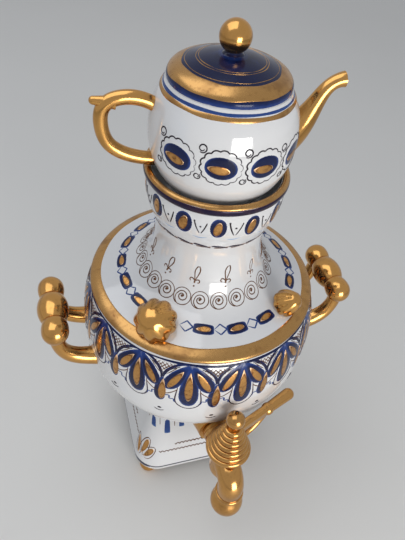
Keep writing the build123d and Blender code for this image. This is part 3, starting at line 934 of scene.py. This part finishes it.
# ---- the lid ---------------------------------------------------------------------------------
@dataclass
class LidOrnament:
    """Gilded rim, chain of links and diamonds, ring of spirals and small feathered flourishes."""

    side: tuple = ((82.2, 232.6), (67.7, 237.5), (54.5, 244.2), (46.2, 254), (42, 267), (40.6, 281),
                   (41.4, 292))
    rim: tuple = ((88.5, 226), (90, 228), (87, 230.9), (82.2, 232.6))
    link_runs: tuple = ((-105.8, -63.8, 3), (-25.0, 30.0, 4), (66.8, 207.4, 8))
    chain_radius: float = 68.2
    chain_shift: float = 3.0
    spirals: int = 23
    spiral_radius: float = 49.9
    flourishes: int = 12
    flourish_height: float = 260.6
    knob_radius: float = 70.0
    knob_height: float = 236.6
    knob_lean: float = 40.0

    def link(self) -> list[Stroke]:
        """Cobalt link with a gold flame in it."""
        return [Stroke(Paint.COBALT, [(-8.0, 0), (8.0, 0)], 8.8, 0.5, 0.14, rows=16, across=9),
                Stroke(Paint.GOLD, [(-5.8, -0.7), (0, 0.1), (5.6, 0.1)], 5.2, 0.6, 0.55, rows=14, across=9)]

    def diamond(self) -> list[Stroke]:
        """Pale diamond between two links."""
        corner = np.array([(-5.0, 0.0), (0, 4.1), (5.0, 0.0), (0, -4.1), (-5.0, 0.0)])
        share = np.linspace(0, 4, 32, endpoint=False)
        line = np.stack([np.interp(share, np.arange(5), corner[:, k]) for k in (0, 1)], -1)
        return [Stroke(Paint.BLUE_LINE, line, 1.4, closed=True, rows=32)]

    def curl(self) -> list[Stroke]:
        """Ring with a spiral that ends in a thick drop."""
        ring = spiral(((0, 6.6), (1.0, 6.4), (1.25, 4.2), (2.2, 2.5), (2.8, 0.6)), 250, 110)
        return [Stroke(Paint.LUSTRE, ring, 1.0, 0.9, 0.5, 0.75, rows=90),
                Stroke(Paint.LUSTRE, [(-1.0, -0.6), (0.6, 0.9)], 2.2, rows=6, across=5)]

    def flourish(self) -> list[Stroke]:
        """Tall loop with two curls at its foot and a dot under it."""
        loop = [(0, -1.0), (-0.5, 5), (0.3, 11.6), (2.0, 13.2), (2.9, 11.4), (1.9, 5.0), (0.3, -0.6)]
        left = [(0.0, -1.4), (-1.2, 1.9), (-3.0, 2.4), (-3.6, 0.9), (-2.6, 0.0)]
        right = [(0.0, -1.6), (1.4, 1.2), (3.2, 1.2), (3.5, -0.6), (2.1, -1.0)]
        pen = {"tip": 0.5, "rows": 24}
        return [Stroke(Paint.LUSTRE, loop, 1.1, **pen), Stroke(Paint.LUSTRE, left, 1.1, **pen),
                Stroke(Paint.LUSTRE, right, 1.1, **pen),
                Stroke(Paint.LUSTRE, [(-0.3, -3.4), (0.4, -4.4)], 1.6, rows=6, across=5)]

    def lobed_knob(self, turn: float, size: float, seat: float, crown: float, petals: int) -> Skin:
        """Lobed knob, which hides the ball inside it.

        Formula: a rounded profile is turned about the leaning axis.  Its radius shrinks at each gap
        between two lobes by a power of a cosine, most at the rim and not at all near the crown.  Where
        the knob would dip into the lid it stops just above the lid's surface.

        Args:
            turn: direction of the knob, in degrees.
            size: radius of the knob, in mm.
            seat: how far the knob sits up the leaning axis.
            crown: height of its top above the seat, as a share of the size.
            petals: how many lobes there are.
        """
        side = [(0.50, -0.26), (0.84, -0.22), (0.97, -0.06), (1.0, 0.12), (0.95, 0.32 * crown),
                (0.83, 0.54 * crown), (0.66, 0.74 * crown), (0.45, 0.90 * crown), (0.22, 0.98 * crown),
                (0.0, crown)]
        profile = smooth_line(side, 60)
        profile[-1] = side[-1]
        profile = np.concatenate([[(0.0, profile[0, 1])], profile])
        angle = np.linspace(0, 2 * np.pi, 180, endpoint=False)
        gap = np.abs(np.cos(petals * angle / 2 + 0.7)) ** 3
        depth = 0.10 * np.clip((profile[:, 0] - 0.25) / 0.75, 0, 1)
        reach = size * profile[:, :1] * (1 - depth[:, None] * gap)
        height = seat + size * profile[:, 1:] + 0 * angle
        local = np.stack([reach * np.cos(angle), reach * np.sin(angle), height], -1)
        frame_of = (Matrix.Rotation(math.radians(turn), 4, "Z")
                    @ Matrix.Translation((self.knob_radius, 0, self.knob_height))
                    @ Matrix.Rotation(math.radians(self.knob_lean), 4, "Y"))
        world = local @ np.array(frame_of.to_3x3()).T + np.array(frame_of.translation)
        line = smooth_line(self.side, 300)
        far = np.hypot(world[..., 0], world[..., 1])
        floor = np.interp(-far, -line[:, 0], line[:, 1])
        world[..., 2] = np.maximum(world[..., 2], floor + 0.45)
        return skin(world)

    def build(self, shop: Workshop) -> None:
        """Paints the lid."""
        wall = TurnedWall(self.side)
        brush = Brush(wall)
        hand = np.random.default_rng(5)
        chain = wall.up_to_radius(self.chain_radius)
        runs = [np.linspace(first, last, count) for first, last, count in self.link_runs]
        gaps = np.concatenate([(run[1:] + run[:-1]) / 2 for run in runs] + [[-116.6]])
        for motif, turns in ((self.link(), np.concatenate(runs)), (self.diamond(), gaps)):
            up = chain - self.chain_shift * np.cos(np.radians(turns))
            brush.paint(motif, Places.around(turns, up, hand, 0.2, 2.0, 0.03))
        step = 2 * np.pi / self.spirals * np.arange(self.spirals)
        turns = -110.0 + np.degrees(step) + 5 * (1 - np.cos(step))
        up = wall.up_to_radius(self.spiral_radius)
        brush.paint(self.curl(), Places.around(turns, up, hand, 0.4, 9.0, 0.05))
        turns = -117.5 + 360 / self.flourishes * np.arange(self.flourishes)
        up = wall.up_to_height(self.flourish_height)
        brush.paint(self.flourish(), Places.around(turns, up, hand, 0.5, 4.0, 0.05))
        shop.hang("lid_ornament", brush, "lid")
        edge = Brush(TurnedWall(self.rim, self.side))
        edge.band(Paint.BAND, 0.6, edge.wall.up_to_height(232.9), 0.5, 9)
        shop.hang("lid_rim", edge, "lid")
        gold = shop.slots["gilded_porcelain"]
        for name, turn in (("front", -133.4), ("back", 46.6)):
            shop.piece("knob_collar_" + name, self.lobed_knob(turn, 16.0, 5.2, 1.18, 9), gold,
                       "lid", "gilded_porcelain", ["knob_rosette_" + name])
        shop.piece("vent_collar", self.lobed_knob(-48.4, 10.5, 3.8, 1.52, 8), gold,
                   "vent_cap", "gilded_porcelain", ["vent_rosette"])


# ---- the cup ---------------------------------------------------------------------------------
@dataclass
class CupOrnament:
    """Upright cobalt ovals with gold hearts, pen marks between them and a roped foot line."""

    side: tuple = ((41.4, 292), (44.8, 299), (47.3, 308), (48.4, 317), (48.2, 325.5))
    lip: tuple = ((48.2, 325.5), (50.2, 328.6), (49.4, 332), (46.8, 333))
    brim: tuple = ((46.8, 333), (45.1, 331.6))
    ovals: int = 13
    first_oval: float = -103.8
    oval_height: float = 315.0
    rope_turns: int = 22

    def oval(self) -> list[Stroke]:
        """Upright oval with a gold heart."""
        return [Stroke(Paint.PALE_BLUE, [(0, -9.3), (0, 9.3)], 14.4, rows=14, across=7),
                Stroke(Paint.COBALT, [(0, -8.4), (0, 8.6)], 12.6, 0.5, 0.42, rows=16, across=9),
                Stroke(Paint.GOLD, [(-1.2, -6.6), (-0.2, 0), (0.8, 5.8)], 7.0, 0.46, 0.6, rows=14, across=9)]

    def mark(self) -> list[Stroke]:
        """Open V with a dot in it."""
        return [Stroke(Paint.INK, [(-4.4, 5.6), (-3.0, 0), (-0.6, -5.6)], 1.15, 0.3, tip=0.5, rows=10),
                Stroke(Paint.INK, [(4.6, 4.8), (2.8, -0.6), (0.4, -5.6)], 1.1, 0.3, tip=0.5, rows=10),
                Stroke(Paint.INK, [(-0.7, 1.0), (0.8, 0.8)], 1.7, rows=6, across=5),
                Stroke(Paint.INK, [(-5.0, 5.6), (-3.6, 5.4)], 1.6, rows=6, across=5)]

    def rope(self) -> list[Stroke]:
        """One lay of the roped line: a dark dash over a brown one."""
        dash = [(-6.2, 1.3), (-1, 0.8), (5.4, -1.2)]
        return [Stroke(Paint.NIGHT, dash, 3.2, 0.35, tip=0.1, rows=12, across=5),
                Stroke(Paint.LUSTRE, [(-4.6, -1.5), (0.6, -1.1), (6.0, 1.0)], 2.4, tip=0.15, rows=10)]

    def build(self, shop: Workshop) -> None:
        """Paints the cup."""
        wall = TurnedWall(self.side)
        brush = Brush(wall)
        hand = np.random.default_rng(31)
        turns = self.first_oval + 360 / self.ovals * np.arange(self.ovals)
        up = wall.up_to_height(self.oval_height)
        brush.paint(self.oval(), Places.around(turns, up, hand, 0.2, 3.0, 0.03))
        brush.paint(self.mark(), Places.around(turns + 180 / self.ovals, up - 0.6, hand, 0.3, 4.0, 0.04))
        swag = [Stroke(Paint.PALE_BLUE, [(-7.4, 0.6), (0, -2.0), (7.4, 0.6)], 1.6, tip=0.5, rows=12)]
        brush.paint(swag, Places.around(turns + 180 / self.ovals, wall.up_to_height(306.8), hand))
        lays = 360 / self.rope_turns * np.arange(self.rope_turns)
        brush.paint(self.rope(), Places.around(lays, wall.up_to_height(294.4), hand, 0.1, 2.0, 0.03))
        shop.hang("cup_ornament", brush, "cup")
        lip = Brush(TurnedWall(self.lip, self.brim))
        top = lip.wall.up_to_radius(self.brim[0][0])
        lip.band(Paint.NIGHT, 0.2, top - 3.9, 0.3, 13)
        lip.band(Paint.BAND, top - 4.3, float(lip.wall.arc[-1]) - 0.1, 0.4, 14)
        shop.hang("cup_lip", lip, "cup")


# ---- the teapot ------------------------------------------------------------------------------
@dataclass
class TeapotOrnament:
    """Ring of cobalt ovals in scalloped frames, shoulder lines, and the banded lid."""

    side: tuple = ((22, 312.5), (36.5, 324), (43.9, 336), (47.4, 348), (48.3, 360), (47.2, 372), (44, 382),
                   (40.5, 388), (38.6, 391.5))
    dome: tuple = ((38.2, 394.2), (36.8, 397), (28, 401.8), (17, 405.2), (7, 407))
    edge: tuple = ((38.2, 391.7), (38.2, 394.2))
    crown: tuple = ((7, 407), (6.2, 407))
    stem: tuple = ((7, 407), (5, 408.6), (5, 412))
    oval_turns: tuple = (-142.2, -108.6, -75.6, -43.0, 137.8, 104.2, 71.2, 36.0)
    oval_height: float = 359.6

    def oval(self) -> list[Stroke]:
        """Oval with a gold heart in a scalloped frame that ends in two curls."""
        heart = [(-8.2, -0.8), (-1.2, -1.3), (5.8, -1.2)]
        frame_line = ellipse(12.6, 11.4, 112, 14, 0.10)
        high_curl = spiral(((0, 2.8), (0.9, 2.1), (1.3, 1.0)), -60, 30) * [-1, 1] + [-13.2, 10.0]
        low_curl = spiral(((0, 2.3), (0.9, 1.7), (1.3, 0.9)), 60, 30) + [-13.4, -9.2]
        return [Stroke(Paint.PALE_BLUE, [(-11.6, 0), (11.6, 0)], 20.6, rows=16, across=9),
                Stroke(Paint.COBALT, [(-10.0, 0), (10.0, 0)], 17.5, 0.5, 0.46, rows=20, across=11),
                Stroke(Paint.GOLD, heart, 6.8, 0.55, 0.55, rows=16, across=9),
                Stroke(Paint.INK, frame_line, 1.1, closed=True, rows=112),
                Stroke(Paint.INK, high_curl, 1.05, tip=0.5, rows=26),
                Stroke(Paint.INK, low_curl, 1.0, tip=0.5, rows=22)]

    def build(self, shop: Workshop) -> None:
        """Paints the teapot and its lid."""
        wall = TurnedWall(self.side)
        brush = Brush(wall)
        hand = np.random.default_rng(41)
        up = wall.up_to_height(self.oval_height)
        brush.paint(self.oval(), Places.around(self.oval_turns, up, hand, 0.3, 4.0, 0.02))
        blue_low, gold_low = (float(wall.arc[-1]) - drop for drop in (3.6, 6.8))
        brush.band(Paint.BLUE_LINE, blue_low, blue_low + 2.0, 0.3, 52)
        brush.band(Paint.BAND, gold_low, gold_low + 3.0, 0.4, 53)
        shop.hang("teapot_ornament", brush, "teapot")
        cover = TurnedWall(self.edge, self.dome, self.crown)
        lid = Brush(cover)
        gold_low, gold_high = cover.up_to_radius(37.8), cover.up_to_radius(29.3)
        lid.band(Paint.COBALT, 0.1, float(cover.arc[-1]) - 0.1, 0.0, 61)
        lid.band(Paint.BAND, gold_low, gold_high, 0.6, 62)
        for number, (radius, half) in enumerate(((27.9, 0.25), (21.5, 0.28), (20.0, 0.28))):
            line = cover.up_to_radius(radius)
            lid.band(Paint.BAND, line - half, line + half, 0.25, 63 + number)
        shop.hang("teapot_lid_ornament", lid, "teapot_lid")
        neck = Brush(TurnedWall(self.stem))
        neck.band(Paint.COBALT, 0.1, float(neck.wall.arc[-1]) - 0.1, 0.0, 71)
        shop.hang("teapot_finial_foot", neck, "teapot_lid")


# ---- studio ----------------------------------------------------------------------------------
@dataclass
class Studio:
    """Pale floor, soft light and the camera."""

    camera_place: tuple = (-0.10903, -0.27820, 0.52199)
    azimuth: float = -21.38
    elevation: float = 44.29
    roll: float = 8.07
    lens: float = 33.93
    floor_half: float = 2.5
    backdrop: tuple = (0.55, 0.56, 0.58, 1)

    def camera(self) -> None:
        """Camera above and in front of the tap, looking down at the lid."""
        a, e, r = (math.radians(v) for v in (self.azimuth, self.elevation, self.roll))
        back = Vector((math.sin(a) * math.cos(e), -math.cos(a) * math.cos(e), math.sin(e)))
        right = Vector((0, 0, 1)).cross(back).normalized()
        up = back.cross(right)
        level = Matrix((right * math.cos(r) + up * math.sin(r),
                        up * math.cos(r) - right * math.sin(r), back)).transposed()
        data = bpy.data.cameras.new("camera")
        data.lens = self.lens
        data.clip_start = 0.01
        camera = bpy.data.objects.new("camera", data)
        bpy.context.scene.collection.objects.link(camera)
        camera.matrix_world = Matrix.Translation(self.camera_place) @ level.to_4x4()
        bpy.context.scene.camera = camera

    def lamp(self, name: str, place: tuple, aim: tuple, wide: float, high: float, power: float,
             colour: tuple) -> None:
        """Soft rectangular lamp that faces a point and stays unseen itself."""
        data = bpy.data.lights.new(name, "AREA")
        data.shape, data.size, data.size_y = "RECTANGLE", wide, high
        data.energy, data.color = power, colour
        lamp = bpy.data.objects.new(name, data)
        bpy.context.scene.collection.objects.link(lamp)
        lamp.location = place
        lamp.rotation_mode = "QUATERNION"
        lamp.rotation_quaternion = (Vector(aim) - Vector(place)).to_track_quat("-Z", "Y")
        lamp.visible_camera = False

    def floor(self) -> None:
        """Plain pale floor under the feet."""
        half = self.floor_half
        mesh = bpy.data.meshes.new("floor")
        corners = [(-half, -half, 0), (half, -half, 0), (half, half, 0), (-half, half, 0)]
        mesh.from_pydata([(x, y, z - 0.0002) for x, y, z in corners], [], [(0, 1, 2, 3)])
        floor = bpy.data.objects.new("floor", mesh)
        bpy.context.scene.collection.objects.link(floor)
        material, s, shader = new_material("pale_floor")
        shade = s.mix(s.noise(3, 2), (0.70, 0.69, 0.67, 1), (0.74, 0.73, 0.71, 1))
        s.tree.links.new(shade, shader.inputs["Base Color"])
        shader.inputs["Roughness"].default_value = 0.6
        mesh.materials.append(material)

    def world(self) -> None:
        """Even grey surroundings, shown paler behind the object and in its gloss."""
        world = bpy.data.worlds.new("surroundings")
        world.use_nodes = True
        bpy.context.scene.world = world
        s = Shading(world.node_tree)
        s.tree.nodes.clear()
        path = s.add("LightPath")
        through = s.math("MAXIMUM", path.outputs["Is Camera Ray"], path.outputs["Is Transmission Ray"])
        seen = s.math("MAXIMUM", through, path.outputs["Is Glossy Ray"])
        soft = s.add("Background", None, Color=(0.50, 0.52, 0.55, 1), Strength=0.75)
        pale = s.add("Background", None, Color=self.backdrop, Strength=1.0)
        both = s.add("MixShader", None, i0=seen, i1=soft.outputs[0], i2=pale.outputs[0])
        out = s.add("OutputWorld")
        s.tree.links.new(both.outputs[0], out.inputs[0])

    def build(self) -> None:
        """Sets the whole stage."""
        self.camera()
        self.floor()
        self.world()
        self.lamp("window", (0.16, -1.05, 0.30), (0, 0, 0.33), 0.55, 0.50, 7.0, (1.0, 0.98, 0.94))
        self.lamp("ceiling", (-0.5, 0.2, 1.6), (0, 0, 0.2), 1.4, 1.4, 9.0, (0.94, 0.97, 1.0))
        bpy.context.scene.view_settings.view_transform = "Standard"
        log.info("stage is set")


def main() -> None:
    """Builds the sub-assemblies in order."""
    logging.basicConfig(level=logging.INFO, format="%(name)s: %(message)s")
    Studio().build()
    shop = Workshop()
    shop.dress_frame()
    for ornament in (PlinthOrnament(), BowlOrnament(), LidOrnament(), CupOrnament(), TeapotOrnament()):
        ornament.build(shop)


if __name__ == "__main__":
    main()
